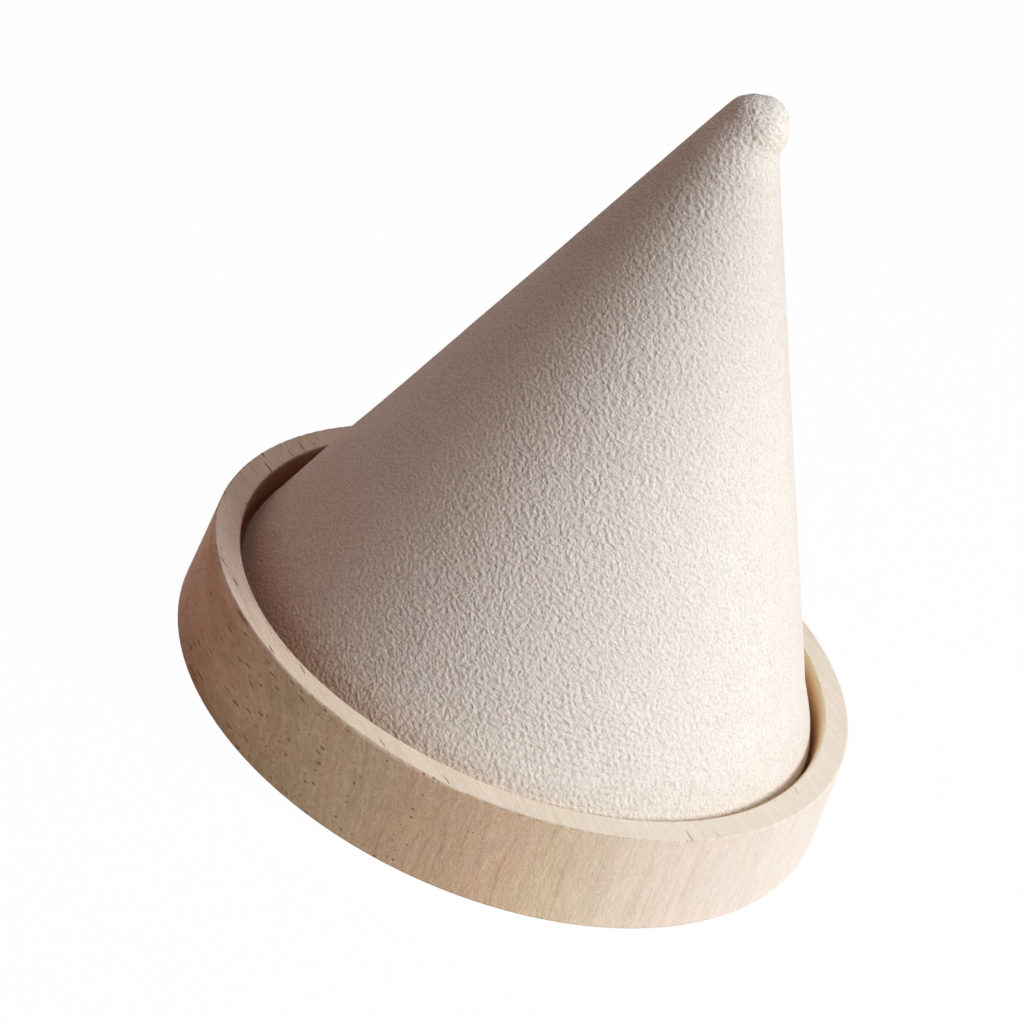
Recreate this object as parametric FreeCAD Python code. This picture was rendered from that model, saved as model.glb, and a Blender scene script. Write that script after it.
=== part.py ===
import FreeCAD, Part
import math
import os

# Conical bracelet stand: a wooden cone in a wrapped cloth cover, seated in the
# recess of a turned wooden tray and held by one countersunk screw from below.
# Millimetres, +Z up, origin at the centre of the tray's underside. +Y is the
# back, where the cover's seam runs; the cover's tip leans towards +X.

# Tray
rim_diameter = 89.6
foot_diameter = 92.2
tray_height = 13.25
floor_thickness = 7.25
rim_width = 3.65
rim_outer_round = 0.25
rim_inner_round = 0.4
foot_round = 0.3
recess_corner_round = 0.8

# Where the rim's outer edge was sanded off, deepest on one side and running out to nothing
sanded_depth = 0.65
sanded_side = -130.0
sanded_lean = 11.0
sanded_shift = 3.5
sanded_round = 0.4
sanded_top_rise = 0.02

# Cone core
wall_clearance = 0.85
core_base_round = 1.1
core_tip_radius = 2.4

# Cover
stand_height = 88.7
cloth_thickness = 0.8
glue_line = 0.1
hem_width = 10.0
notch_count = 18
notch_width = 1.6
notch_margin = 2.5
seam_gap = 0.3
nub_radius = 4.2
nub_lean = 0.8
nub_rise = 0.4
nub_skirt = 8.5
nub_taper = 4.0

# Screw
screw_length = 30.0
screw_diameter = 4.0
screw_head_diameter = 8.0
screw_head_land = 0.3
screw_head_sink = 0.3
screw_point = 4.0
screw_hole_clearance = 0.25
driver_recess_span = 4.6
driver_recess_width = 1.1
driver_recess_depth = 2.0
pilot_extra = 1.0

# How far a cut runs past what it cuts
cut_margin = 1.0

# Derived sizes
rim_radius = rim_diameter / 2
foot_radius = foot_diameter / 2
recess_radius = rim_radius - rim_width
cover_offset = glue_line + cloth_thickness
cover_radius = recess_radius - wall_clearance
base_centre_radius = cover_radius - cover_offset - core_base_round
base_centre_level = floor_thickness + cover_offset + core_base_round
tip_centre_level = stand_height - nub_rise - cover_offset - core_tip_radius
nub_centre_level = stand_height - nub_radius
nub_root_level = nub_centre_level - nub_skirt
hem_inner_radius = cover_radius - hem_width
screw_radius = screw_diameter / 2
screw_head_radius = screw_head_diameter / 2
screw_hole_radius = screw_radius + screw_hole_clearance
head_cone_top = screw_head_sink + screw_head_land
screw_tip_level = screw_head_sink + screw_length


def at(radius, level):
    return FreeCAD.Vector(radius, 0, level)


def polar(centre, radius, angle):
    return centre + at(radius * math.cos(angle), radius * math.sin(angle))


def turned(edges):
    """One full turn about Z of a closed half outline that lies in the XZ plane."""
    face = Part.Face(Part.Wire(edges))
    return face.revolve(FreeCAD.Vector(0, 0, 0), FreeCAD.Vector(0, 0, 1), 360)


def line(start, end):
    return Part.LineSegment(start, end).toShape()


def arc(centre, radius, start_angle, end_angle):
    points = [polar(centre, radius, angle)
              for angle in (start_angle, (start_angle + end_angle) / 2, end_angle)]
    return Part.Arc(*points).toShape()


def rounded_outline(corners):
    """Edges of a closed outline from (radius, level, rounding) corners."""
    points = [at(radius, level) for radius, level, rounding in corners]
    starts = []
    ends = []
    bends = []
    for index, corner in enumerate(points):
        rounding = corners[index][2]
        back = (points[index - 1] - corner).normalize()
        ahead = (points[(index + 1) % len(points)] - corner).normalize()
        half = back.getAngle(ahead) / 2
        reach = rounding / math.tan(half)
        middle = (back + ahead).normalize() * (rounding / math.sin(half) - rounding)
        starts.append(corner + back * reach)
        ends.append(corner + ahead * reach)
        bends.append(corner + middle)
    edges = []
    for index, corner in enumerate(corners):
        if corner[2] > 0:
            edges.append(Part.Arc(starts[index], bends[index], ends[index]).toShape())
        edges.append(line(ends[index], starts[(index + 1) % len(corners)]))
    return edges


def countersink_radius(level):
    """The 45 degree seat that the screw's head lies in, carried down to the underside."""
    return screw_head_radius + head_cone_top - level


def sanding():
    """A wide, round-edged cone that stands off centre: it keeps what was not sanded off the rim's outer edge."""
    bottom = -cut_margin
    top = tray_height + sanded_top_rise
    top_radius = rim_radius - sanded_depth + sanded_shift
    bottom_radius = top_radius + (top - bottom) * math.tan(math.radians(sanded_lean))
    kept = turned(rounded_outline([
        (0, bottom, 0),
        (0, top, 0),
        (top_radius, top, sanded_round),
        (bottom_radius, bottom, 0),
    ]))
    away = math.radians(sanded_side + 180)
    kept.translate(FreeCAD.Vector(sanded_shift * math.cos(away), sanded_shift * math.sin(away), 0))
    return kept


def wooden_tray():
    hole_start = screw_head_radius + head_cone_top - screw_hole_radius
    board = turned(rounded_outline([
        (screw_hole_radius, floor_thickness, 0),
        (recess_radius, floor_thickness, recess_corner_round),
        (recess_radius, tray_height, rim_inner_round),
        (rim_radius, tray_height, rim_outer_round),
        (foot_radius, 0, foot_round),
        (countersink_radius(0), 0, 0),
        (screw_hole_radius, hole_start, 0),
    ]))
    return board.common(sanding())


def rounded_cone(offset):
    """The core's outline moved outwards: its base edge and tip are arcs that share a tangent."""
    base = at(base_centre_radius, base_centre_level)
    tip = at(0, tip_centre_level)
    base_round = core_base_round + offset
    tip_round = core_tip_radius + offset
    apart = base - tip
    slope = math.atan2(apart.z, apart.x) + math.acos((tip_round - base_round) / apart.Length)
    bottom = base_centre_level - base_round
    top = tip_centre_level + tip_round
    return turned([
        line(at(0, bottom), at(base_centre_radius, bottom)),
        arc(base, base_round, -math.pi / 2, slope),
        line(polar(base, base_round, slope), polar(tip, tip_round, slope)),
        arc(tip, tip_round, slope, math.pi / 2),
        line(at(0, top), at(0, bottom)),
    ])


def cone_core():
    depth = screw_tip_level + pilot_extra
    pilot = Part.makeCylinder(screw_radius, depth)
    return rounded_cone(0).cut(pilot)


def tip_nub():
    """The cloth gathered over the tip: a leaning knob whose skirt runs out into the cone."""
    slope = math.radians(nub_taper)
    centre = at(0, nub_centre_level)
    shoulder = polar(centre, nub_radius, slope)
    root_radius = shoulder.x + (shoulder.z - nub_root_level) * math.tan(slope)
    knob = turned([
        line(at(0, nub_root_level), at(root_radius, nub_root_level)),
        line(at(root_radius, nub_root_level), shoulder),
        arc(centre, nub_radius, slope, math.pi / 2),
        line(at(0, stand_height), at(0, nub_root_level)),
    ])
    knob.translate(at(nub_lean, 0))
    return knob


def hem_notches():
    """Wedges snipped from the turned-under edge, so that it lies flat under the core."""
    apex = base_centre_radius - notch_margin
    inner = hem_inner_radius - cut_margin
    half_width = notch_width / 2 * (apex - inner) / (apex - hem_inner_radius)
    level = floor_thickness - cut_margin
    wedge = Part.Face(Part.makePolygon([
        FreeCAD.Vector(apex, 0, level),
        FreeCAD.Vector(inner, half_width, level),
        FreeCAD.Vector(inner, -half_width, level),
        FreeCAD.Vector(apex, 0, level),
    ])).extrude(at(0, cut_margin + cover_offset))
    notches = []
    for index in range(notch_count):
        notch = wedge.copy()
        turn = 90 + (index + 0.5) * 360 / notch_count
        notch.rotate(FreeCAD.Vector(0, 0, 0), FreeCAD.Vector(0, 0, 1), turn)
        notches.append(notch)
    return notches


def seam_slit():
    """The butt seam between the wrapped cloth's two edges, from the hem to the nub."""
    corner = FreeCAD.Vector(-seam_gap / 2, 0, floor_thickness - cut_margin)
    depth = cover_radius + cut_margin
    height = nub_root_level - corner.z
    return Part.makeBox(seam_gap, depth, height, corner)


def cone_cover():
    cloth = rounded_cone(cover_offset).fuse(tip_nub())
    hem_opening = Part.makeCylinder(hem_inner_radius, cut_margin + cover_offset,
                                    at(0, floor_thickness - cut_margin))
    return cloth.cut([rounded_cone(glue_line), hem_opening, seam_slit()] + hem_notches())


def driver_recess():
    """A cross that narrows to its bottom."""
    arms = []
    for turn in (0, 90):
        arm = Part.makeBox(driver_recess_span, driver_recess_width, driver_recess_depth,
                           FreeCAD.Vector(-driver_recess_span / 2, -driver_recess_width / 2, screw_head_sink))
        arm.rotate(FreeCAD.Vector(0, 0, 0), FreeCAD.Vector(0, 0, 1), turn)
        arms.append(arm)
    narrowing = Part.makeCone(driver_recess_span / 2, driver_recess_width / 2,
                              driver_recess_depth, at(0, screw_head_sink))
    return arms[0].fuse(arms[1]).common(narrowing)


def fixing_screw():
    neck_level = head_cone_top + screw_head_radius - screw_radius
    body = turned(rounded_outline([
        (0, screw_head_sink, 0),
        (0, screw_tip_level, 0),
        (screw_radius, screw_tip_level - screw_point, 0),
        (screw_radius, neck_level, 0),
        (screw_head_radius, head_cone_top, 0),
        (screw_head_radius, screw_head_sink, 0),
    ]))
    return body.cut(driver_recess())


def save(node, shape):
    solid = shape.Solids[0] if len(shape.Solids) == 1 else shape
    solid.exportStep(os.path.join("parts", node + ".step"))
    print(node, "solids", len(shape.Solids), "valid", shape.isValid(), "volume", round(shape.Volume, 1))


os.makedirs("parts", exist_ok=True)
save("wooden_tray", wooden_tray())
save("cone_core", cone_core())
save("cone_cover", cone_cover())
save("fixing_screw", fixing_screw())
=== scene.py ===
import math
import bmesh
import bpy
from mathutils import Matrix, Vector, noise


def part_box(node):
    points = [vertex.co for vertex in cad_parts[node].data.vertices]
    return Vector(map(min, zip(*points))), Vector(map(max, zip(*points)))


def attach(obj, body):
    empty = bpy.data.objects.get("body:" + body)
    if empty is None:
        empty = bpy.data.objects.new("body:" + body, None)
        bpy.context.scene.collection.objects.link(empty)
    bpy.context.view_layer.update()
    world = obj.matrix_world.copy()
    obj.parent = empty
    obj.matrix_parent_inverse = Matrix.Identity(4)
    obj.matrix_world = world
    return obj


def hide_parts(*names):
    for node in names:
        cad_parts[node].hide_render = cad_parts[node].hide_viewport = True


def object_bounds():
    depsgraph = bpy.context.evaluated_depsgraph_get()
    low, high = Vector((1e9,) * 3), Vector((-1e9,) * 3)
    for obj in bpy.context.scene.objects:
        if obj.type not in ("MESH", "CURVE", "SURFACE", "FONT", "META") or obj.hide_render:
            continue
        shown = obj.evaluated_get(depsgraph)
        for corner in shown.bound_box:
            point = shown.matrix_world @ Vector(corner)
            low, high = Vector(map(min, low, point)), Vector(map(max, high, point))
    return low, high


# Conical bracelet stand: a turned wooden tray and a cone wrapped in suede-like cloth.
# Metres, +Z up. The cloth's seam runs down the back (+Y) and the covered tip leans to +X.

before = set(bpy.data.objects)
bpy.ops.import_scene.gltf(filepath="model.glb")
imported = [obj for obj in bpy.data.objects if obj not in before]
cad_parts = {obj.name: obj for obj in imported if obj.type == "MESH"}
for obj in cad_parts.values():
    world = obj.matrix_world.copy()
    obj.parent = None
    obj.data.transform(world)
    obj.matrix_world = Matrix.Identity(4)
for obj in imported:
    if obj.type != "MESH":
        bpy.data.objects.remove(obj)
cadLow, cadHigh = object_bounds()
mm = 0.001
inMillimetres = (1000, 1000, 1000)      # scales coordinates from metres
print("frame loaded:", ", ".join(sorted(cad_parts)))


# Small helpers for materials and objects

def newMaterial(name):
    mat = bpy.data.materials.new(name)
    mat.use_nodes = True
    mat.node_tree.nodes.clear()
    return mat


def addNode(mat, kind, inputs=None, **settings):
    node = mat.node_tree.nodes.new(kind)
    for key, value in settings.items():
        setattr(node, key, value)
    for key, value in (inputs or {}).items():
        if isinstance(value, bpy.types.NodeSocket):
            mat.node_tree.links.new(value, node.inputs[key])
        else:
            node.inputs[key].default_value = value
    return node


def sumUp(mat, kind, first, second, clamp=False):
    node = addNode(mat, "ShaderNodeMath", {0: first, 1: second}, operation=kind, use_clamp=clamp)
    return node.outputs[0]


def times(mat, first, second):
    return sumUp(mat, "MULTIPLY", first, second)


def swing(mat, pattern, by):      # how far a pattern is from its middle value, times an amount
    return times(mat, sumUp(mat, "SUBTRACT", pattern, 0.5), by)


def weighted(mat, patterns, amounts):      # patterns added up, each times its own amount
    total = None
    for pattern, amount in zip(patterns, amounts):
        part = times(mat, pattern, amount)
        total = part if total is None else sumUp(mat, "ADD", total, part)
    return total


def mapRange(mat, value, fromMin, fromMax, toMin=0.0, toMax=1.0, smooth=True):
    node = addNode(mat, "ShaderNodeMapRange",
                   {"Value": value, "From Min": fromMin, "From Max": fromMax,
                    "To Min": toMin, "To Max": toMax},
                   interpolation_type="SMOOTHSTEP" if smooth else "LINEAR")
    return node.outputs["Result"]


def mixColour(mat, factor, first, second, blend="MIX"):
    node = addNode(mat, "ShaderNodeMix", {"Factor": factor, 6: first, 7: second},
                   data_type="RGBA", blend_type=blend)
    return node.outputs[2]


def rampOf(mat, value, stops):      # colours along a value, from the first stop's to the last's
    low, high = stops[0][0], stops[-1][0]
    node = addNode(mat, "ShaderNodeValToRGB", {0: mapRange(mat, value, low, high, smooth=False)})
    ramp = node.color_ramp.elements
    for index, (place, colour) in enumerate(stops):
        element = ramp[index] if index < 2 else ramp.new(1.0)
        element.position = (place - low) / (high - low)
        element.color = colour
    return node.outputs[0]


def placed(mat, coords, turn=(0, 0, 0), scale=(1, 1, 1), shift=(0, 0, 0)):
    node = addNode(mat, "ShaderNodeMapping",
                   {"Vector": coords, "Location": shift, "Rotation": turn, "Scale": scale})
    return node.outputs[0]


def distanceTo(mat, coords, place):
    return addNode(mat, "ShaderNodeVectorMath", {0: coords, 1: place}, operation="DISTANCE").outputs["Value"]


def noiseOf(mat, coords, scale, detail, roughness=0.5, colour=False):
    node = addNode(mat, "ShaderNodeTexNoise",
                   {"Vector": coords, "Scale": scale, "Detail": detail, "Roughness": roughness})
    return node.outputs["Color" if colour else "Fac"]


def bent(mat, coords, by, scale):      # coordinates pushed about by a soft noise, so that lines wander
    push = addNode(mat, "ShaderNodeVectorMath", {0: noiseOf(mat, coords, scale, 1.0, colour=True),
                                                 1: (0.5, 0.5, 0.5)}, operation="SUBTRACT").outputs[0]
    wide = addNode(mat, "ShaderNodeVectorMath", {0: push, 1: (by, by, by)}, operation="MULTIPLY").outputs[0]
    return addNode(mat, "ShaderNodeVectorMath", {0: coords, 1: wide}, operation="ADD").outputs[0]


def roughnessOf(mat, pattern, finish):      # a little smoother or rougher with the pattern
    smoothest, roughest = [finish["roughness"] + spread for spread in finish["roughnessSpread"]]
    return mapRange(mat, pattern, 0.3, 0.7, smoothest, roughest, smooth=False)


def finishMaterial(mat, colour, roughness, height, finish):
    surface = addNode(mat, "ShaderNodeBsdfPrincipled", {"Base Color": colour, "Roughness": roughness})
    for key, value in finish["gloss"].items():
        surface.inputs[key].default_value = value
    bump = addNode(mat, "ShaderNodeBump",
                   {"Height": height, "Strength": 1.0, "Distance": finish["bumpDepth"]})
    mat.node_tree.links.new(bump.outputs[0], surface.inputs["Normal"])
    end = addNode(mat, "ShaderNodeOutputMaterial", {"Surface": surface.outputs[0]})
    end.is_active_output = True
    return mat


def coat(thing, mat):
    thing.data.materials.clear()
    thing.data.materials.append(mat)


def addObject(name, data):
    thing = bpy.data.objects.new(name, data)
    bpy.context.scene.collection.objects.link(thing)
    return thing


# Wooden tray: pale hardwood turned from one flat-sawn board

# Places are in millimetres: Side runs across the stand towards its lit side, Levels go up from the
# underside and Radii out from the axis. Each gives where a tone starts and where it is full, and
# some give the amounts at both ends as well.
trayWood = {
    "grainTurn": math.radians(51.4),     # turns the board's length on to X
    "litSideTurn": math.radians(-25),       # the side the key light comes from: the board is palest towards here, partly painted light
    "wanders": ((1.8, 0.06), (0.5, 0.45)),      # how far the grain's lines wander, and how finely

    # each pattern: whether it wanders, its fineness along the board, across it and upwards, its
    # shift across, its detail and its roughness
    "grain": {
        "layers": (True, (0.010, 0.42, 0.02), 0, 1.0, 0.6),
        "lines": (True, (0.03, 1.1, 0.05), 50, 2.0, 0.6),
        "streaks": (True, (0.06, 1.9, 0.26), 0, 2.0, 0.6),
        "fibres": (True, (0.30, 4.6, 1.1), 0, 2.0, 0.6),
        "pores": (False, (1.2, 5.0, 4.0), 0, 1.0, 0.5),
        "blotches": (False, (0.16, 0.5, 0.5), 0, 2.0, 0.6),
        "hues": (True, (0.05, 0.30, 0.12), 0, 2.0, 0.5),
    },

    # how the patterns darken and lighten the wood: dark end, light end and amount
    "contrasts": {
        "blotches": (0.34, 0.60, 0.40),
        "layers": (0.36, 0.64, 0.22),
        "lines": (0.30, 0.42, 0.45),
        "streaks": (0.34, 0.66, 0.36),
        "fibres": (0.32, 0.68, 0.42),
        "pores": (0.30, 0.70, 0.50),
    },
    "blotchSide": (10, -20),             # blotches come in towards the brown side
    "calmSide": (22, 44, 1.0, 0.5),      # the grain is fainter where the board is pale
    "rimCalm": 0.55,                     # and on the rim
    "darkTint": (0.80, 0.74, 0.68, 1),
    "lightTint": (1.08, 1.07, 1.05, 1),
    "greenHues": (0.48, 0.66),
    "greenTint": (0.97, 1.0, 0.92, 1),
    "redHues": (0.46, 0.32),
    "redTint": (1.02, 0.95, 0.91, 1),

    # colours across Side, partly painted light: the wood's own brown-to-pale tone, made paler towards the key
    # light and painted lighter in a band across the front-left
    "boardAndPaintedLightColours": [(-34, (0.68, 0.41, 0.26, 1)), (-22, (0.80, 0.59, 0.45, 1)), (-12, (0.94, 0.89, 0.73, 1)),
                     (4, (0.95, 0.90, 0.72, 1)), (13, (0.86, 0.71, 0.56, 1)), (26, (0.85, 0.72, 0.57, 1)),
                     (33, (0.86, 0.79, 0.67, 1)), (41, (0.88, 0.82, 0.77, 1)), (46, (0.86, 0.84, 0.82, 1))],
    "boardUneven": 4.0,                  # how far the growth layers push those colours about

    # painted light: a pale mauve band on the rim's rounded outer edge on the shaded side, where it faces up
    # into the light
    "rimEdgeLightLevels": (12.95, 13.35),
    "rimEdgeLightSide": (-4, -18),
    "rimEdgeLightAmount": 0.8,
    "rimEdgeLightColour": (0.80, 0.66, 0.62, 1),

    # painted light and shade on the rim's top: darker towards the left, partly the wood's browner tone and
    # partly painted shade where the cone's shadow falls, paler on the lit side, and painted lighter at the
    # back-left inside that shadow
    "rimLevels": (13.13, 13.23),
    "rimAmount": 0.9,
    "rimShadedColour": (0.83, 0.69, 0.59, 1),
    "rimLitSide": (-28, 34),
    "rimLitColour": (0.98, 0.90, 0.79, 1),
    "rimBackLitSide": (-31, -39),
    "rimBackLitColour": (0.99, 0.82, 0.68, 1),

    # painted light and shade in the recess: darker on the shaded side and deeper down, lighter on the lit
    # side
    "recessRadii": (41.9, 41.5),
    "recessTopLevels": (13.27, 13.12),
    "recessFloorLevels": (6.6, 7.0),
    "recessAmount": 0.9,
    "recessLitSide": (-20, 20),
    "recessShadedColour": (0.42, 0.22, 0.15, 1),
    "recessLitColour": (1.0, 0.80, 0.50, 1),
    "recessShadeLevels": (13.1, 11.0),
    "recessShadeTint": (0.98, 0.72, 0.55, 1),

    "vesselColour": (0.34, 0.15, 0.09, 1),
    "vesselFineness": (0.16, 1.9, 1.9),
    "vesselSide": (22, -12, 0.02, 1.0),        # the share of the cells that hold a vessel
    "vesselRimSide": (34, 42, 0.0, 0.35),      # and their share on the rim
    "vesselLengths": (0.12, 0.34),             # in cells
    "vesselEdge": 9.0,                         # how sharp its edge is
    "vesselAmounts": (0.5, 0.95),

    "roughness": 0.56,
    "roughnessSpread": (-0.05, 0.07),
    "gloss": {"IOR": 1.45, "Specular IOR Level": 0.2},
    "bumpDepth": 0.09 * mm,
    "relief": {"streaks": 0.3, "fibres": 0.3, "pores": 0.2},
    "vesselRelief": 0.6,
}


def trayWoodMaterial(name, wood):
    mat = newMaterial(name)
    coords = addNode(mat, "ShaderNodeTexCoord").outputs["Object"]
    along = placed(mat, coords, turn=(0, 0, wood["grainTurn"]), scale=inMillimetres)
    towards = placed(mat, coords, turn=(0, 0, -wood["litSideTurn"]), scale=inMillimetres)
    level = addNode(mat, "ShaderNodeSeparateXYZ", {"Vector": along}).outputs[2]
    side = addNode(mat, "ShaderNodeSeparateXYZ", {"Vector": towards}).outputs[0]
    wander = along
    for by, fineness in wood["wanders"]:
        wander = bent(mat, wander, by, fineness)

    # growth layers stand upright across the board, and fine fibres and pores run along it
    grain = {}
    for kind, (wanders, fineness, shift, detail, roughness) in wood["grain"].items():
        lines = placed(mat, wander if wanders else along, scale=fineness, shift=(0, shift, 0))
        grain[kind] = noiseOf(mat, lines, 1.0, detail, roughness)

    # the board goes from brown through tan to pale, partly its own tone and partly painted light towards the
    # lit side, and its rim and the rounded edge on its shaded side are paler, with painted light and shade
    uneven = sumUp(mat, "ADD", side, swing(mat, grain["layers"], wood["boardUneven"]))
    colour = rampOf(mat, uneven, wood["boardAndPaintedLightColours"])
    calm = mapRange(mat, side, *wood["calmSide"])
    for hues, tint in (("greenHues", "greenTint"), ("redHues", "redTint")):
        share = times(mat, mapRange(mat, grain["hues"], *wood[hues]), calm)
        colour = mixColour(mat, share, colour, wood[tint], blend="MULTIPLY")
    # painted light on the rim's rounded outer edge, on the shaded side
    rimEdgeLight = mapRange(mat, sumUp(mat, "ADD", level, grain["streaks"]), *wood["rimEdgeLightLevels"])
    rimEdgeLight = times(mat, rimEdgeLight, mapRange(mat, side, *wood["rimEdgeLightSide"]))
    colour = mixColour(mat, times(mat, rimEdgeLight, wood["rimEdgeLightAmount"]), colour, wood["rimEdgeLightColour"])
    rim = mapRange(mat, level, *wood["rimLevels"])
    rimTone = mixColour(mat, mapRange(mat, side, *wood["rimLitSide"]),
                        wood["rimShadedColour"], wood["rimLitColour"])
    rimTone = mixColour(mat, mapRange(mat, side, *wood["rimBackLitSide"]), rimTone, wood["rimBackLitColour"])
    colour = mixColour(mat, times(mat, rim, wood["rimAmount"]), colour, rimTone)

    # stripes and grain darken and lighten it, least where it is pale
    strength = times(mat, calm, mapRange(mat, rim, 0.0, 1.0, 1.0, wood["rimCalm"]))
    for kind, (dark, light, amount) in wood["contrasts"].items():
        if kind == "blotches":
            amount = mapRange(mat, side, *wood["blotchSide"], 0.0, amount)
        tint = mixColour(mat, mapRange(mat, grain[kind], dark, light), wood["darkTint"], wood["lightTint"])
        colour = mixColour(mat, times(mat, strength, amount), colour, tint, blend="MULTIPLY")

    # open vessels: short dark dashes along the board, more of them on its brown side
    cells = addNode(mat, "ShaderNodeTexVoronoi",
                    {"Vector": placed(mat, wander, scale=wood["vesselFineness"]), "Scale": 1.0,
                     "Randomness": 1.0}, feature="F1").outputs
    chances = addNode(mat, "ShaderNodeSeparateColor", {"Color": cells["Color"]}).outputs
    share = sumUp(mat, "MAXIMUM", mapRange(mat, side, *wood["vesselSide"]),
                  times(mat, rim, mapRange(mat, side, *wood["vesselRimSide"])))
    kept = sumUp(mat, "LESS_THAN", chances[0], share)
    length = mapRange(mat, chances[1], 0.0, 1.0, *wood["vesselLengths"], smooth=False)
    dash = sumUp(mat, "SUBTRACT", length, cells["Distance"])
    dash = times(mat, kept, sumUp(mat, "MULTIPLY", dash, wood["vesselEdge"], clamp=True))
    amount = times(mat, calm, mapRange(mat, chances[2], 0.0, 1.0, *wood["vesselAmounts"]))
    colour = mixColour(mat, times(mat, dash, amount), colour, wood["vesselColour"])

    # painted light and shade on the recess's wall: darker on its shaded side and browner down towards its
    # corner, lighter on its lit side, standing in for light thrown back from the cloth
    radius = addNode(mat, "ShaderNodeVectorMath", {0: placed(mat, along, scale=(1, 1, 0))},
                     operation="LENGTH").outputs["Value"]
    inside = mapRange(mat, radius, *wood["recessRadii"])
    for levels in ("recessTopLevels", "recessFloorLevels"):
        inside = times(mat, inside, mapRange(mat, level, *wood[levels]))
    recess = mixColour(mat, mapRange(mat, side, *wood["recessLitSide"]),
                       wood["recessShadedColour"], wood["recessLitColour"])
    recess = mixColour(mat, mapRange(mat, level, *wood["recessShadeLevels"]), recess, wood["recessShadeTint"],
                       blend="MULTIPLY")
    colour = mixColour(mat, times(mat, inside, wood["recessAmount"]), colour, recess)

    rough = roughnessOf(mat, grain["streaks"], wood)
    height = weighted(mat, [grain[kind] for kind in wood["relief"]], wood["relief"].values())
    height = sumUp(mat, "SUBTRACT", height, times(mat, dash, wood["vesselRelief"]))
    return finishMaterial(mat, colour, rough, height, wood)


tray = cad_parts["wooden_tray"]
coat(tray, trayWoodMaterial("sandedPaleHardwood", trayWood))
print("tray: sanded hardwood")


# Wooden core under the cloth: the same kind of wood, left unfinished

coreWood = dict(trayWood, roughness=0.7,
                boardAndPaintedLightColours=[(-34, (0.62, 0.44, 0.28, 1)), (10, (0.68, 0.50, 0.33, 1)),
                              (46, (0.73, 0.56, 0.39, 1))],
                rimBackLitColour=(0.62, 0.44, 0.28, 1), rimShadedColour=(0.68, 0.50, 0.33, 1),
                rimLitColour=(0.73, 0.56, 0.39, 1),
                recessShadedColour=(0.64, 0.46, 0.30, 1), recessLitColour=(0.71, 0.53, 0.36, 1),
                recessShadeTint=(1, 1, 1, 1))
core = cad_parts["cone_core"]
coat(core, trayWoodMaterial("unfinishedTurnedWood", coreWood))
print("core: unfinished wood")


# Fixing screw: zinc-plated steel

screwSteel = {
    "colour": (0.62, 0.60, 0.55, 1),
    "dullColour": (0.42, 0.40, 0.37, 1),
    "clouds": (0.7, 3.0),                # fineness and detail
    "dullClouds": (0.35, 0.7),           # where the dull colour starts and where it is full
    "grit": (9.0, 2.0),
    "roughness": 0.34,
    "roughnessSpread": (-0.08, 0.14),
    "gloss": {"Metallic": 1.0},
    "bumpDepth": 0.02 * mm,
}


def screwMaterial(name, steel):
    mat = newMaterial(name)
    coords = placed(mat, addNode(mat, "ShaderNodeTexCoord").outputs["Object"], scale=inMillimetres)
    clouds = noiseOf(mat, coords, *steel["clouds"])
    grit = noiseOf(mat, coords, *steel["grit"])
    colour = mixColour(mat, mapRange(mat, clouds, *steel["dullClouds"]), steel["colour"], steel["dullColour"])
    return finishMaterial(mat, colour, roughnessOf(mat, clouds, steel), grit, steel)


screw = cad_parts["fixing_screw"]
coat(screw, screwMaterial("zincPlatedSteel", screwSteel))
print("screw: zinc plate")


# Cloth cover: one fan of cloth wrapped round the core, with a butt seam down the
# back, a notched hem turned under the core and a blunt, leaning, gathered tip

coverCut = {
    "thickness": 0.8 * mm,
    "baseRound": 2.0 * mm,        # outside of the bend over the core's bottom edge
    "tipRound": 3.3 * mm,         # outside of the cloth over the core's tip
    "tipDrop": 0.4 * mm,          # from the knob's top down to the cloth over the core
    "hemWidth": 10.0 * mm,
    "notches": 18,
    "notchWidth": 1.6 * mm,
    "notchMargin": 2.5 * mm,
    "seamGap": 0.3 * mm,
    "seamTop": 12.7 * mm,         # from the knob's top down to the seam's upper end
    "seamLip": 0.14 * mm,
    "seamLipReach": 1.3 * mm,
    "seamLipCrest": 0.6,          # under 1, the lip is highest near the seam
    "seamEdgeDip": 0.9,           # how far the cut edge itself turns back down, and how sharply
    "seamEdgeSharpness": 6,
    "columnsPerNotch": 18,
    "columnCrowding": 1.6,        # over 1, the columns beside the seam crowd together
    "domeRows": 8,
    "slopeRows": 112,
    "bendRows": 9,
    "hemRows": 8,
    "weldReach": 0.01 * mm,
    "uvMargin": 4 * mm,
}

# each bulb: how far it leans to +X, its centre's depth below the stand's top, its radius
tipKnob = {
    "lowBulb": (1.0 * mm, 4.15 * mm, 3.95 * mm),
    "highBulb": (1.6 * mm, 2.75 * mm, 2.8 * mm),
    "taper": math.radians(-14),
    "fillet": 0.6 * mm,
    "lumps": 0.14 * mm,
    "lumpSize": 1.5 * mm,
    "lumpReach": 10 * mm,
    "knobReach": 4,               # how many of the low bulb's radii the knob reaches down
    "settleSteps": 14,
}

coverEase = {
    "swell": 0.10 * mm,           # slow unevenness of the glued cloth
    "swellSize": 22 * mm,
    "swellBase": 0.35,
    "crinkle": 0.030 * mm,        # fine unevenness
    "crinkleSize": 2.4 * mm,
    "flare": 0.22 * mm,           # the cloth stands off a little above its bottom bend
    "flareLevel": 22 * mm,
    "flareReach": 9 * mm,
    "slack": 1.25 * mm,           # and bulges a little just above it, most towards one side
    "slackTurn": math.radians(-60),
    "slackNarrowing": 3,
    "slackLevel": 11.8 * mm,
    "slackReach": 5.5 * mm,
    "easeEnd": 0.45,              # the share of the bottom bend in which all this runs out
}

# what keeps the three soft noises apart
swellSeed, crinkleSeed, lumpSeed = 1, 2, 3
seedSteps = (17.3, 5.1, 9.7)

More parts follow.
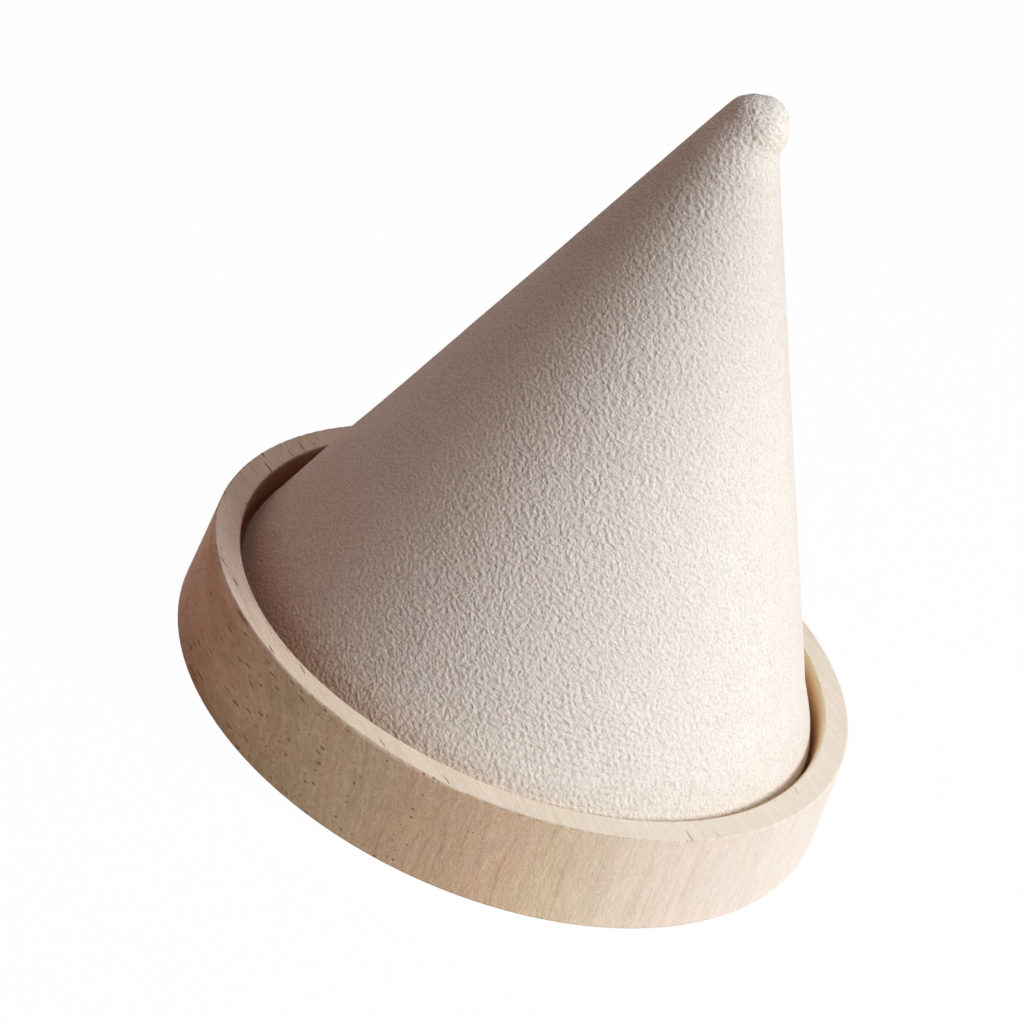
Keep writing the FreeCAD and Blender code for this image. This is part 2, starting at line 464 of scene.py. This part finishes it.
coverLow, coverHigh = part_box("cone_cover")
coverRadius = coverHigh.x
bendCentre = Vector((coverRadius - coverCut["baseRound"], 0, coverLow.z + coverCut["baseRound"]))
tipCentre = Vector((0, 0, coverHigh.z - coverCut["tipDrop"] - coverCut["tipRound"]))
tipToBend = bendCentre - tipCentre
coneAngle = (math.atan2(tipToBend.z, tipToBend.x)
             + math.acos((coverCut["tipRound"] - coverCut["baseRound"]) / tipToBend.length))
slopeNormal = Vector((math.cos(coneAngle), 0, math.sin(coneAngle)))
slopeStart = tipCentre + slopeNormal * coverCut["tipRound"]
slopeEnd = bendCentre + slopeNormal * coverCut["baseRound"]
domeLength = coverCut["tipRound"] * (math.pi / 2 - coneAngle)
slopeLength = (slopeEnd - slopeStart).length
bendLength = coverCut["baseRound"] * (math.pi / 2 + coneAngle)
hemLength = coverCut["hemWidth"] - coverCut["baseRound"]
fanStart = slopeStart.x / math.sin(coneAngle) - domeLength       # the flat cloth's small radius
fanRadius = fanStart + domeLength + slopeLength + bendLength + hemLength
fanAngle = 2 * math.pi * math.sin(coneAngle)
sheetWidth = 2 * fanRadius * (math.sin(fanAngle / 2) if fanAngle < math.pi else 1)
uvSpan = sheetWidth + coverCut["uvMargin"]                       # one unit of the UV map


def rowStops():      # distance from the tip of each row of vertices, down the outline
    stretches = [(domeLength, coverCut["domeRows"]), (slopeLength, coverCut["slopeRows"]),
                 (bendLength, coverCut["bendRows"]), (hemLength, coverCut["hemRows"])]
    stops = [0.0]
    for length, rows in stretches:
        start = stops[-1]
        stops += [start + length * (row + 1) / rows for row in range(rows)]
    return stops


def outlineAt(distance):      # point and outward normal of the cover's half outline, in the XZ plane
    if distance < domeLength:
        angle = math.pi / 2 - distance / coverCut["tipRound"]
        normal = Vector((math.cos(angle), 0, math.sin(angle)))
        return tipCentre + normal * coverCut["tipRound"], normal
    distance -= domeLength
    if distance < slopeLength:
        return slopeStart.lerp(slopeEnd, distance / slopeLength), slopeNormal.copy()
    distance -= slopeLength
    if distance < bendLength:
        angle = coneAngle - distance / coverCut["baseRound"]
        normal = Vector((math.cos(angle), 0, math.sin(angle)))
        return bendCentre + normal * coverCut["baseRound"], normal
    distance -= bendLength
    return Vector((bendCentre.x - distance, 0, coverLow.z)), Vector((0, 0, -1))


def columnTurn(column, columns):      # angle round from the seam
    crowded = coverCut["columnsPerNotch"] // 2
    half = math.pi / coverCut["notches"]
    fromSeam = min(column, columns - column)
    if fromSeam < crowded:
        turn = half * (fromSeam / crowded) ** coverCut["columnCrowding"]
    else:
        turn = half * fromSeam / crowded
    return turn if column <= columns / 2 else 2 * math.pi - turn


def coneDistance(point):      # signed distance from the plain cover over the core
    flat = Vector((math.hypot(point.x, point.y), 0, point.z)) - tipCentre
    along = flat.dot(Vector((slopeNormal.z, 0, -slopeNormal.x)))
    return (flat.dot(slopeNormal) if along > 0 else flat.length) - coverCut["tipRound"]


def bulbDistance(point, bulb):      # signed distance from one bulb of the knob and the skirt below it
    lean, depth, radius = bulb
    flat = Vector((math.hypot(point.x - lean, point.y), 0, point.z - coverHigh.z + depth))
    side = Vector((math.cos(tipKnob["taper"]), 0, math.sin(tipKnob["taper"])))
    along = flat.dot(Vector((side.z, 0, -side.x)))
    return (flat.dot(side) if along > 0 else flat.length) - radius


def joined(first, second):      # distance from two forms that run softly together
    overlap = max(tipKnob["fillet"] - abs(first - second), 0) / tipKnob["fillet"]
    return min(first, second) - overlap ** 2 * tipKnob["fillet"] / 4


def gatheredPoint(point, normal):      # out to the knob, where it stands out of the plain cover
    if point.z < coverHigh.z - tipKnob["knobReach"] * tipKnob["lowBulb"][2]:
        return point
    moved = point.copy()
    for _ in range(tipKnob["settleSteps"]):
        knob = joined(bulbDistance(moved, tipKnob["lowBulb"]), bulbDistance(moved, tipKnob["highBulb"]))
        moved -= normal * joined(coneDistance(moved), knob)
    return moved


def softNoise(point, size, seed):
    return noise.noise(point / size + Vector([seed * step for step in seedSteps]))


def fadeOut(distance, reach):
    share = min(max(distance / reach, 0), 1)
    return 1 - share * share * (3 - 2 * share)


def clothRise(point, distance, fromSeam):      # how far the cloth stands off its plain outline
    ease = coverEase
    rise = ease["swell"] * (softNoise(point, ease["swellSize"], swellSeed) + ease["swellBase"])
    rise += ease["crinkle"] * softNoise(point, ease["crinkleSize"], crinkleSeed)
    rise += ease["flare"] * fadeOut(abs(point.z - ease["flareLevel"]), ease["flareReach"]) / 2
    towards = 0.5 + 0.5 * math.cos(math.atan2(point.y, point.x) - ease["slackTurn"])
    rise += (ease["slack"] * towards ** ease["slackNarrowing"]
             * fadeOut(abs(point.z - ease["slackLevel"]), ease["slackReach"]))
    rise += (tipKnob["lumps"] * softNoise(point, tipKnob["lumpSize"], lumpSeed)
             * fadeOut(distance, tipKnob["lumpReach"]))
    lip = fromSeam / coverCut["seamLipReach"]
    if lip < 1 and point.z < coverHigh.z - coverCut["seamTop"]:
        crest = math.sin(math.pi * lip ** coverCut["seamLipCrest"])
        dip = coverCut["seamEdgeDip"] * (1 - lip) ** coverCut["seamEdgeSharpness"]
        rise += coverCut["seamLip"] * (crest - dip)
    return rise * fadeOut(distance - domeLength - slopeLength, bendLength * ease["easeEnd"])


def hemOpening(radius):      # half the width of a notch, where the hem has come in to this radius
    apex = bendCentre.x - coverCut["notchMargin"]
    share = (apex - radius) / (apex - (bendCentre.x - hemLength))
    return coverCut["notchWidth"] / 2 * max(share, 0)


def makeCover():
    per = coverCut["columnsPerNotch"]
    columns = coverCut["notches"] * per
    stops = rowStops()
    rows = len(stops) - 1
    bendEnd = domeLength + slopeLength + bendLength

    # the flat cloth: a grid from -0.5 to 0.5, with its place on the fan kept as its UV map
    bm = bmesh.new()
    bmesh.ops.create_grid(bm, x_segments=columns, y_segments=rows, size=0.5)
    columnOf = bm.verts.layers.int.new("column")
    rowOf = bm.verts.layers.int.new("row")
    uvLayer = bm.loops.layers.uv.new("flatCloth")
    for vert in bm.verts:
        vert[columnOf] = round((vert.co.x + 0.5) * columns)
        vert[rowOf] = round((vert.co.y + 0.5) * rows)
    for face in bm.faces:
        for loop in face.loops:
            radius = fanStart + stops[loop.vert[rowOf]]
            turn = (loop.vert[columnOf] / columns - 0.5) * fanAngle
            loop[uvLayer].uv = (0.5 + radius * math.sin(turn) / uvSpan,
                                (fanRadius - radius * math.cos(turn)) / uvSpan)

    # snip the hem along the middle of each notch
    snips = []
    for edge in bm.edges:
        first, second = edge.verts
        ends = [outlineAt(stops[vert[rowOf]])[0].x for vert in edge.verts]
        if (first[columnOf] == second[columnOf] and first[columnOf] % per == per // 2
                and min(first[rowOf], second[rowOf]) >= rows - coverCut["hemRows"]
                and hemOpening(min(ends)) > 0):
            snips.append(edge)
    bmesh.ops.split_edges(bm, edges=snips)
    sideOf = {}
    for vert in bm.verts:
        near = [corner[columnOf] for face in vert.link_faces for corner in face.verts]
        sideOf[vert] = 1 if sum(near) / len(near) > vert[columnOf] else -1

    # wrap the flat cloth round the core
    seamEnd = coverHigh.z - coverCut["seamTop"]
    welded = []
    for vert in bm.verts:
        column, stop = vert[columnOf], stops[vert[rowOf]]
        flatPoint, flatNormal = outlineAt(stop)
        turn = columnTurn(column, columns)
        fromSeam = flatPoint.x * min(turn, 2 * math.pi - turn)
        if flatPoint.z < seamEnd:
            turn += coverCut["seamGap"] / 2 / flatPoint.x * (1 - turn / math.pi)
        if stop > bendEnd:
            offset = column % per - per // 2
            side = sideOf[vert] if offset == 0 else math.copysign(1, offset)
            turn += side * hemOpening(flatPoint.x) / flatPoint.x * (1 - abs(offset) / (per / 2))
        onAxis = Matrix.Rotation(math.pi / 2 + turn, 3, "Z")
        normal = onAxis @ flatNormal
        point = gatheredPoint(onAxis @ flatPoint, normal)
        if stop < bendEnd:
            point += normal * clothRise(point, stop, fromSeam)
        vert.co = point
        if vert[rowOf] == 0 or (column in (0, columns) and flatPoint.z >= seamEnd):
            welded.append(vert)
    bmesh.ops.remove_doubles(bm, verts=welded, dist=coverCut["weldReach"])
    bmesh.ops.recalc_face_normals(bm, faces=bm.faces)
    return bm


coverMesh = makeCover()
coverData = bpy.data.meshes.new("clothCover")
coverMesh.to_mesh(coverData)
coverMesh.free()
cover = addObject("clothCover", coverData)
for face in coverData.polygons:
    face.use_smooth = True
thicken = cover.modifiers.new("clothThickness", "SOLIDIFY")
thicken.thickness = coverCut["thickness"]
thicken.offset = -1
thicken.use_quality_normals = True
print("cover:", len(coverData.polygons), "faces")


# Places are in millimetres on the flat fan: Turns are angles from its middle, in radians, Drops
# go down from its tip and Radii out from its centre. Each gives where a tone starts and where it
# is full.
suedeCloth = {
    "colour": (0.88, 0.852, 0.803, 1),
    "shadeColour": (0.58, 0.49, 0.42, 1),
    "pinkColour": (0.86, 0.79, 0.765, 1),
    "greenColour": (0.81, 0.815, 0.755, 1),
    "paintedSheenColour": (0.905, 0.89, 0.90, 1),
    "brightColour": (0.97, 0.955, 0.93, 1),

    # which pattern brings which colour: where it starts, where it is full, and how much
    # the patches paint a sheen at random, and height and weave paint shade into the nap's hollows and between
    # the weave's rows
    "tones": (("patches", 0.5, 0.68, 0.6, "paintedSheenColour"), ("mottle", 0.47, 0.70, 0.5, "pinkColour"),
              ("tinge", 0.48, 0.70, 0.6, "greenColour"), ("height", 0.54, 0.34, 0.26, "shadeColour"),
              ("weave", -0.1, -0.9, 0.08, "shadeColour")),
    "patchFineness": 0.11,
    "mottleFineness": 0.30,
    "mottleShift": (40, 0, 0),
    "tingeFineness": 0.45,
    "tingeShift": (0, 40, 0),
    "slowDetail": (2.0, 0.6),                 # detail and roughness of the three

    "wander": (1.0, 0.35),                    # how far the nap wanders, and how finely
    "strokeTurn": math.radians(36),
    "strokeLength": 0.80,
    "strokeWidth": 0.56,
    "pebbleSize": 0.53,
    "napDetail": 1.2,
    "fleckSize": 0.27,
    "fleckDetail": 1.0,
    "fleckScale": (0.7, 1, 1),                # stretches them along the strokes
    "fleckShift": (0, 90, 0),
    "napRelief": (0.42, 0.47, 0.11),          # of strokes, pebbles and flecks
    "bumpDepth": 0.40 * mm,

    "weaveThreads": ((math.radians(-97), 1.2), (math.radians(-32), 0.6)),      # turn and strength
    "weavePitch": 0.87,
    "weaveWobble": {"Distortion": 2.2, "Detail": 1.0, "Detail Scale": 2.0},
    "weavePlace": (9.0, 17.0),    # across from the flat cloth's middle, and up from its lower edge
    "weaveReach": 17.0,
    "weaveFull": 0.4,             # the share of that reach in which it shows fully
    "weavePatchy": 20.0,
    "weaveRelief": 0.072,

    "seamTurns": (-1.3, -0.95),   # left out beside the seam, so that both of its sides stay alike
    "leftTurns": (0.12, -0.34),
    "shadedTurns": (-0.06, -0.30),
    # flecks: the nap's own fibres, made stronger on the shaded side and near the tip as painted light and
    # shade
    "darkFlecks": (0.50, 0.28),
    "darkAmounts": (0.32, 0.72),              # on the lit side and on the shaded side
    "tipDarkDrops": (9, 2),
    "tipDarkAmount": 0.36,
    "brightFlecks": (0.54, 0.74),
    "brightAmounts": (0.5, 0.95),

    "tipTint": (0.90, 0.90, 0.89, 1),
    "tipTintDrops": (55, 16),
    "tipTintEndDrops": (5, 12),
    "bottomShadeTint": (0.76, 0.62, 0.53, 1),        # painted shade along the bottom where the cloth meets the tray, warmed by light from the wood, most towards the shaded left
    "edgeRadii": (82, 89),
    "edgeUneven": 5.0,
    "edgeAmounts": (0.22, 1.0),
    # painted warm light thrown back from the wood on the cloth's shaded left side
    "leftBounceTint": (1.0, 0.93, 0.90, 1),
    "leftTintTurns": (-0.22, -0.42),
    "leftTintRadii": (68, 76),

    "roughness": 0.82,
    "roughnessSpread": (-0.06, 0.06),
    "gloss": {"Sheen Weight": 0.12, "Sheen Roughness": 0.5, "Specular IOR Level": 0.35},
}
plainPitch = 0.314      # from band to band of the wave texture at a scale of 1


def suedeMaterial(name, cloth):
    mat = newMaterial(name)
    coords = addNode(mat, "ShaderNodeUVMap", uv_map="flatCloth").outputs[0]
    span = uvSpan / mm
    flat = placed(mat, coords, scale=(span, span, 1), shift=(-span / 2, 0, 0))
    wander = bent(mat, flat, *cloth["wander"])
    nap = (0, 0, cloth["strokeTurn"])

    # the nap: short strokes with pebbles between them, and fine flecks
    strokeScale = (1 / cloth["strokeLength"], 1 / cloth["strokeWidth"], 1)
    strokes = noiseOf(mat, placed(mat, placed(mat, wander, turn=nap), scale=strokeScale),
                      1.0, cloth["napDetail"])
    pebbles = noiseOf(mat, wander, 1 / cloth["pebbleSize"], cloth["napDetail"])
    flecks = noiseOf(mat, placed(mat, flat, turn=nap, scale=cloth["fleckScale"], shift=cloth["fleckShift"]),
                     1 / cloth["fleckSize"], cloth["fleckDetail"])
    patches = noiseOf(mat, flat, cloth["patchFineness"], *cloth["slowDetail"])
    mottle = noiseOf(mat, placed(mat, flat, shift=cloth["mottleShift"]),
                     cloth["mottleFineness"], *cloth["slowDetail"])
    tinge = noiseOf(mat, placed(mat, flat, shift=cloth["tingeShift"]),
                    cloth["tingeFineness"], *cloth["slowDetail"])
    height = weighted(mat, (strokes, pebbles, flecks), cloth["napRelief"])

    # the base weave shows through the nap low on the front
    ribs = []
    for turn, strength in cloth["weaveThreads"]:
        bands = addNode(mat, "ShaderNodeTexWave",
                        {"Vector": placed(mat, flat, turn=(0, 0, turn)),
                         "Scale": plainPitch / cloth["weavePitch"], **cloth["weaveWobble"]},
                        bands_direction="X")
        ribs.append(swing(mat, bands.outputs["Fac"], strength))
    place = distanceTo(mat, flat, (*cloth["weavePlace"], 0))
    place = sumUp(mat, "ADD", place, swing(mat, patches, cloth["weavePatchy"]))
    shown = mapRange(mat, place, cloth["weaveReach"], cloth["weaveReach"] * cloth["weaveFull"])
    weave = times(mat, sumUp(mat, "ADD", *ribs), shown)
    height = sumUp(mat, "ADD", height, times(mat, weave, cloth["weaveRelief"]))

    patterns = {"patches": patches, "mottle": mottle, "tinge": tinge, "height": height, "weave": weave}
    colour = cloth["colour"]
    for kind, start, full, amount, tone in cloth["tones"]:
        colour = mixColour(mat, mapRange(mat, patterns[kind], start, full, 0.0, amount), colour, cloth[tone])

    # where a point lies on the fan: how far from its centre, and how far round from its middle
    centre = fanRadius / mm
    tip = fanStart / mm
    toCentre = distanceTo(mat, flat, (0, centre, 0))
    across = addNode(mat, "ShaderNodeSeparateXYZ", {"Vector": flat}).outputs
    turn = sumUp(mat, "ARCTAN2", across[0], sumUp(mat, "SUBTRACT", centre, across[1]))
    offSeam = mapRange(mat, turn, *cloth["seamTurns"])
    leftHalf = times(mat, offSeam, mapRange(mat, turn, *cloth["leftTurns"]))
    shaded = times(mat, offSeam, mapRange(mat, turn, *cloth["shadedTurns"]))

    # dark and bright flecks, most on the shaded side: the nap's own fibres, made stronger there and near the
    # tip as painted light and shade
    nearTip = mapRange(mat, toCentre, *[tip + drop for drop in cloth["tipDarkDrops"]],
                       0.0, cloth["tipDarkAmount"])
    amount = sumUp(mat, "ADD", nearTip, mapRange(mat, shaded, 0.0, 1.0, *cloth["darkAmounts"]))
    dark = times(mat, mapRange(mat, flecks, *cloth["darkFlecks"]), amount)
    colour = mixColour(mat, dark, colour, cloth["shadeColour"])
    amount = mapRange(mat, shaded, 0.0, 1.0, *cloth["brightAmounts"])
    bright = times(mat, mapRange(mat, flecks, *cloth["brightFlecks"]), amount)
    colour = mixColour(mat, bright, colour, cloth["brightColour"])

    # greyer towards the tip, and painted shade along the bottom where the cloth meets the tray
    high = times(mat, mapRange(mat, toCentre, *[tip + drop for drop in cloth["tipTintDrops"]]),
                 mapRange(mat, toCentre, *[tip + drop for drop in cloth["tipTintEndDrops"]]))
    colour = mixColour(mat, high, colour, cloth["tipTint"], blend="MULTIPLY")
    edge = sumUp(mat, "ADD", toCentre, swing(mat, tinge, cloth["edgeUneven"]))
    edge = times(mat, mapRange(mat, edge, *cloth["edgeRadii"]),
                 mapRange(mat, leftHalf, 0.0, 1.0, *cloth["edgeAmounts"], smooth=False))
    colour = mixColour(mat, edge, colour, cloth["bottomShadeTint"], blend="MULTIPLY")
    # painted warm light from the wood on the shaded left
    left = times(mat, times(mat, offSeam, mapRange(mat, turn, *cloth["leftTintTurns"])),
                 mapRange(mat, toCentre, *cloth["leftTintRadii"]))
    colour = mixColour(mat, left, colour, cloth["leftBounceTint"], blend="MULTIPLY")

    return finishMaterial(mat, colour, roughnessOf(mat, patches, cloth), height, cloth)


coverData.materials.append(suedeMaterial("offWhiteSuedeCloth", suedeCloth))
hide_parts("cone_cover")
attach(cover, "root")
print("cloth: a fan of radius", round(fanRadius / mm, 1), "mm and",
      round(math.degrees(fanAngle), 1), "degrees")


# Floor, light and camera

studio = {
    "floorSize": 8.0,
    "floorWhite": 0.98,                        # share of plain white that the camera sees on the floor
    "floorColour": (0.62, 0.47, 0.38, 1),      # what the floor throws back on to the object
    "ambient": (0.028, 0.016, 0.012, 1),
}

# where each softbox stands (turn from +X, rise), its distance, size, level and colour
softboxes = {
    "keyLight": (math.radians(-21), math.radians(31), 1.6, 1.00, 0.99, (1, 1, 1)),
    "topLight": (math.radians(-20), math.radians(80), 1.5, 1.30, 0.23, (1, 1, 1)),
    "warmFill": (math.radians(178), math.radians(16), 1.5, 1.00, 0.086, (1, 0.38, 0.23)),
}

photoView = {
    "place": (-8.31 * mm, -230.92 * mm, 149.90 * mm),
    "pitch": math.radians(28.37),
    "roll": math.radians(22.37),
    "lens": 70.3,
    "sensor": 36.0,
    "clipStart": 0.01,
}

plainWhite = (1, 1, 1, 1)


def makeFloor():
    bm = bmesh.new()
    bmesh.ops.create_grid(bm, x_segments=1, y_segments=1, size=studio["floorSize"] / 2)
    data = bpy.data.meshes.new("studioFloor")
    bm.to_mesh(data)
    bm.free()
    floor = addObject("studioFloor", data)
    mat = newMaterial("paleFloor")
    path = addNode(mat, "ShaderNodeLightPath").outputs
    seen = sumUp(mat, "MAXIMUM", path["Is Camera Ray"],
                 sumUp(mat, "MAXIMUM", path["Is Glossy Ray"], path["Is Transmission Ray"]))
    plain = addNode(mat, "ShaderNodeEmission", {"Color": plainWhite, "Strength": 1.0}).outputs[0]
    shaded = addNode(mat, "ShaderNodeBsdfDiffuse", {"Color": plainWhite}).outputs[0]
    thrown = addNode(mat, "ShaderNodeBsdfDiffuse", {"Color": studio["floorColour"]}).outputs[0]
    white = addNode(mat, "ShaderNodeMixShader", {0: studio["floorWhite"], 1: shaded, 2: plain}).outputs[0]
    both = addNode(mat, "ShaderNodeMixShader", {0: seen, 1: thrown, 2: white}).outputs[0]
    addNode(mat, "ShaderNodeOutputMaterial", {"Surface": both})
    data.materials.append(mat)


def addSoftbox(name, turn, rise, distance, size, level, colour, target):
    data = bpy.data.lights.new(name, "AREA")
    data.shape = "DISK"
    data.size = size
    data.color = colour
    data.energy = level * math.pi ** 2 * distance ** 2
    lamp = addObject(name, data)
    away = Vector((math.cos(turn) * math.cos(rise), math.sin(turn) * math.cos(rise), math.sin(rise)))
    lamp.location = target + away * distance
    lamp.rotation_mode = "QUATERNION"
    lamp.rotation_quaternion = away.to_track_quat("Z", "Y")


def lightWorld():
    world = bpy.data.worlds.new("studioRoom")
    world.use_nodes = True
    world.node_tree.nodes.clear()
    path = addNode(world, "ShaderNodeLightPath").outputs
    seen = sumUp(world, "MAXIMUM", path["Is Camera Ray"], path["Is Glossy Ray"])
    room = addNode(world, "ShaderNodeBackground", {"Color": studio["ambient"]}).outputs[0]
    white = addNode(world, "ShaderNodeBackground", {"Color": plainWhite}).outputs[0]
    both = addNode(world, "ShaderNodeMixShader", {0: seen, 1: room, 2: white}).outputs[0]
    addNode(world, "ShaderNodeOutputWorld", {"Surface": both})
    bpy.context.scene.world = world


middle = Vector((0, 0, (cadLow.z + cadHigh.z) / 2))
makeFloor()
lightWorld()
for softbox, values in softboxes.items():
    addSoftbox(softbox, *values, middle)

lensData = bpy.data.cameras.new("photoCamera")
lensData.lens = photoView["lens"]
lensData.sensor_width = photoView["sensor"]
lensData.clip_start = photoView["clipStart"]
camera = addObject("photoCamera", lensData)
camera.matrix_world = (Matrix.Translation(photoView["place"])
                       @ Matrix.Rotation(math.pi / 2 - photoView["pitch"], 4, "X")
                       @ Matrix.Rotation(photoView["roll"], 4, "Z"))
bpy.context.scene.camera = camera
bpy.context.scene.view_settings.view_transform = "Standard"
print("studio: floor, softboxes and camera")
